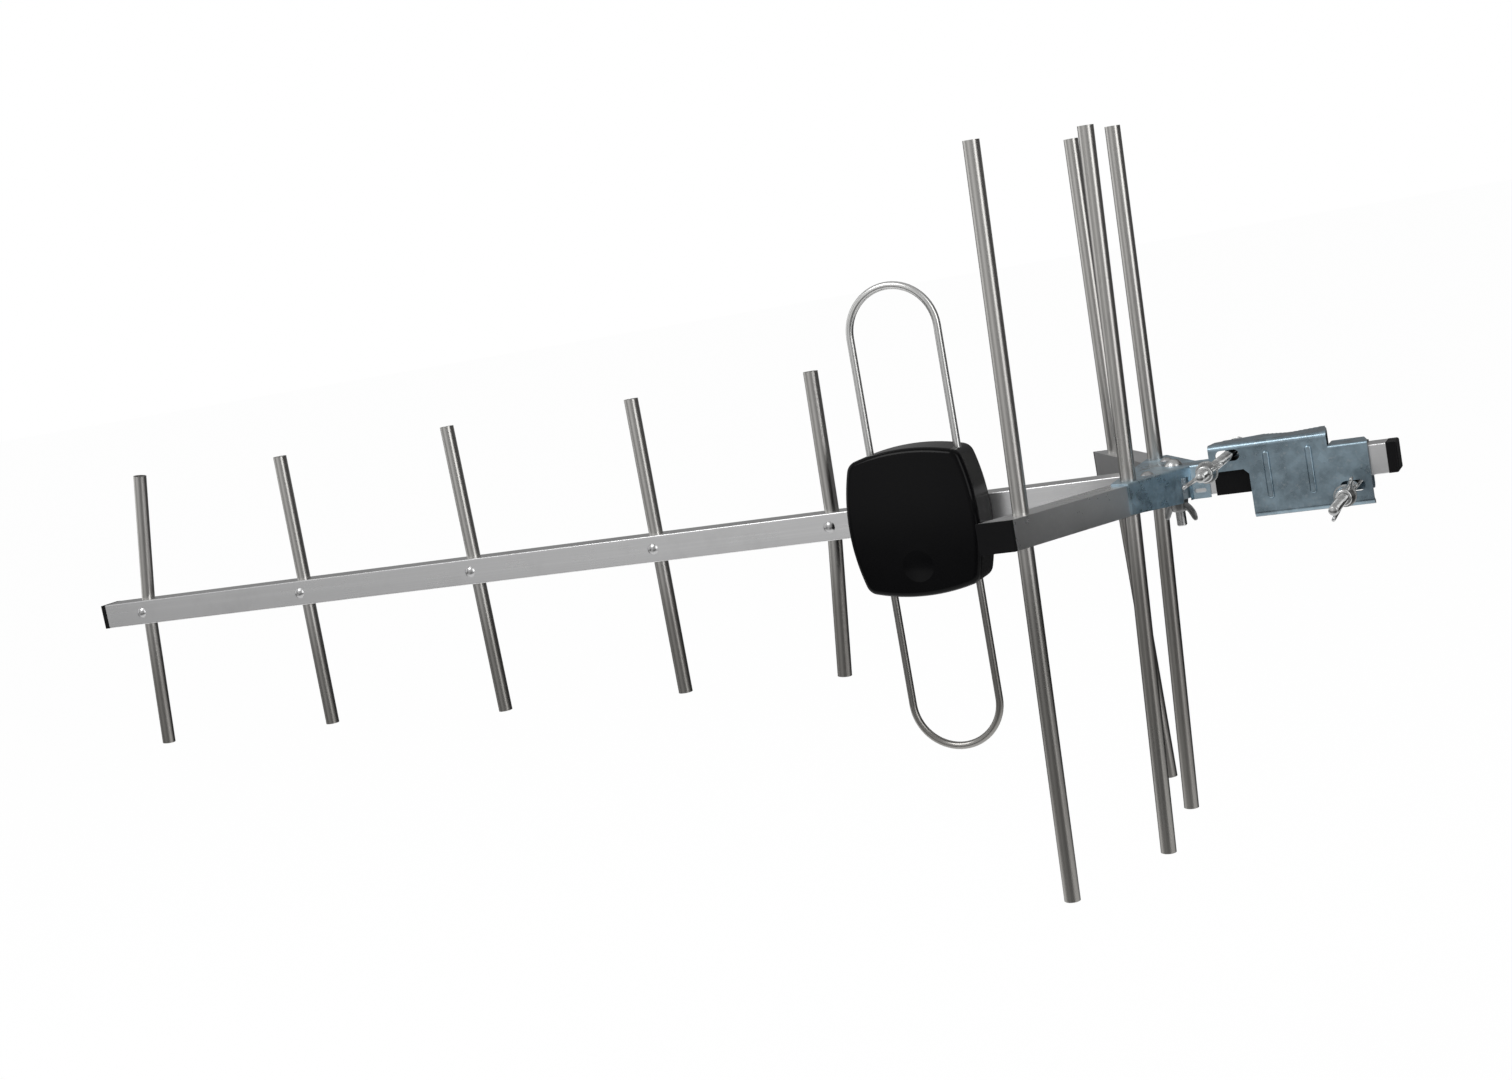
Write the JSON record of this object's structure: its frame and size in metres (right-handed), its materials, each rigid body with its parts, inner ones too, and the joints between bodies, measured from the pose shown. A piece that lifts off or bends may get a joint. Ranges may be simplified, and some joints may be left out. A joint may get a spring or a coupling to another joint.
{
  "type": "outdoor tv antenna",
  "caption": "Yagi television antenna with a square boom, bent rod dipole and its box, folded corner reflector and a toothed mast clamp closed by wing nuts.",
  "frame": {"origin": "on the boom's axis, at the middle of the mast clamp", "axes": "+X along the boom from the directors to the clamp, +Y towards the mast, +Z along the elements"},
  "size_m": [0.806, 0.232, 0.368],
  "materials": {
    "aluminium": "drawn, dull",
    "rivet_aluminium": "bright",
    "zinc_steel": "blue zinc plate",
    "fixing_steel": "bright zinc plate",
    "gloss_black": "glossy",
    "matt_black": "moulded",
    "board": "lacquered laminate",
    "ferrite": "sintered",
    "copper": "enamelled copper wire",
    "bright_brass": "nickel plated",
    "white_plastic": "moulded"
  },
  "bodies": {
    "antenna": {"boom": "aluminium", "near_arm": "aluminium", "far_arm": "aluminium", "dipole_loop": "aluminium", "director_1": "aluminium", "director_2": "aluminium", "director_3": "aluminium", "director_4": "aluminium", "director_5": "aluminium", "reflector_rod_1": "aluminium", "reflector_rod_2": "aluminium", "reflector_rod_3": "aluminium", "reflector_rod_4": "aluminium", "director_rivets": "rivet_aluminium", "bracket_rivets": "rivet_aluminium", "reflector_bracket": "zinc_steel", "clamp_plate": "zinc_steel", "bracket_bolt": "fixing_steel", "box_screws": "fixing_steel", "terminal_screws": "fixing_steel", "box_base": "gloss_black", "box_lid": "gloss_black", "boom_front_cap": "matt_black", "boom_rear_cap": "matt_black", "arm_plugs": "matt_black", "clamp_sleeve": "matt_black", "balun_board": "board", "balun_core": "ferrite", "balun_wires": "copper", "terminal_blocks": "bright_brass", "f_socket": "bright_brass", "socket_nut": "bright_brass", "socket_washer": "bright_brass", "socket_insert": "white_plastic"},
    "clamp_jaw_body": {"clamp_jaw": "zinc_steel", "clamp_bolts": "fixing_steel"},
    "upper_washer_body": {"upper_washer": "fixing_steel"},
    "upper_nut_body": {"upper_wing_nut": "fixing_steel"},
    "lower_washer_body": {"lower_washer": "fixing_steel"},
    "lower_nut_body": {"lower_wing_nut": "fixing_steel"},
    "bracket_washer_body": {"bracket_washer": "fixing_steel"},
    "bracket_nut_body": {"bracket_wing_nut": "fixing_steel"}
  },
  "joints": [
    {"name": "clamp_jaw_slide", "type": "slide", "parent": "antenna", "child": "clamp_jaw_body", "axis": [0, 1, 0], "range_m": [0, 0.016]},
    {"name": "upper_nut_travel", "type": "slide", "parent": "clamp_jaw_body", "child": "upper_washer_body", "axis": [0, -1, 0], "range_m": [-0.034, 0.008]},
    {"name": "upper_nut_turn", "type": "hinge", "parent": "upper_washer_body", "child": "upper_nut_body", "pos_m": [-0.029, -0.062, 0.01125], "axis": [0, -1, 0], "range_deg": [-15310, 3610]},
    {"name": "lower_nut_travel", "type": "slide", "parent": "clamp_jaw_body", "child": "lower_washer_body", "axis": [0, -1, 0], "range_m": [-0.011, 0.032]},
    {"name": "lower_nut_turn", "type": "hinge", "parent": "lower_washer_body", "child": "lower_nut_body", "pos_m": [0.029, -0.038, -0.01125], "axis": [0, -1, 0], "range_deg": [-4960, 14410]},
    {"name": "bracket_nut_travel", "type": "slide", "parent": "antenna", "child": "bracket_washer_body", "axis": [0, 0, -1], "range_m": [0, 0.0064]},
    {"name": "bracket_nut_turn", "type": "hinge", "parent": "bracket_washer_body", "child": "bracket_nut_body", "pos_m": [-0.0585, 0, -0.009], "axis": [0, 0, -1], "range_deg": [0, 2890]}
  ],
  "couplings": [
    {"joint": "upper_nut_turn", "follows": "upper_nut_travel", "rad_per_m": 7854},
    {"joint": "lower_nut_turn", "follows": "lower_nut_travel", "rad_per_m": 7854},
    {"joint": "bracket_nut_turn", "follows": "bracket_nut_travel", "rad_per_m": 7854}
  ]
}
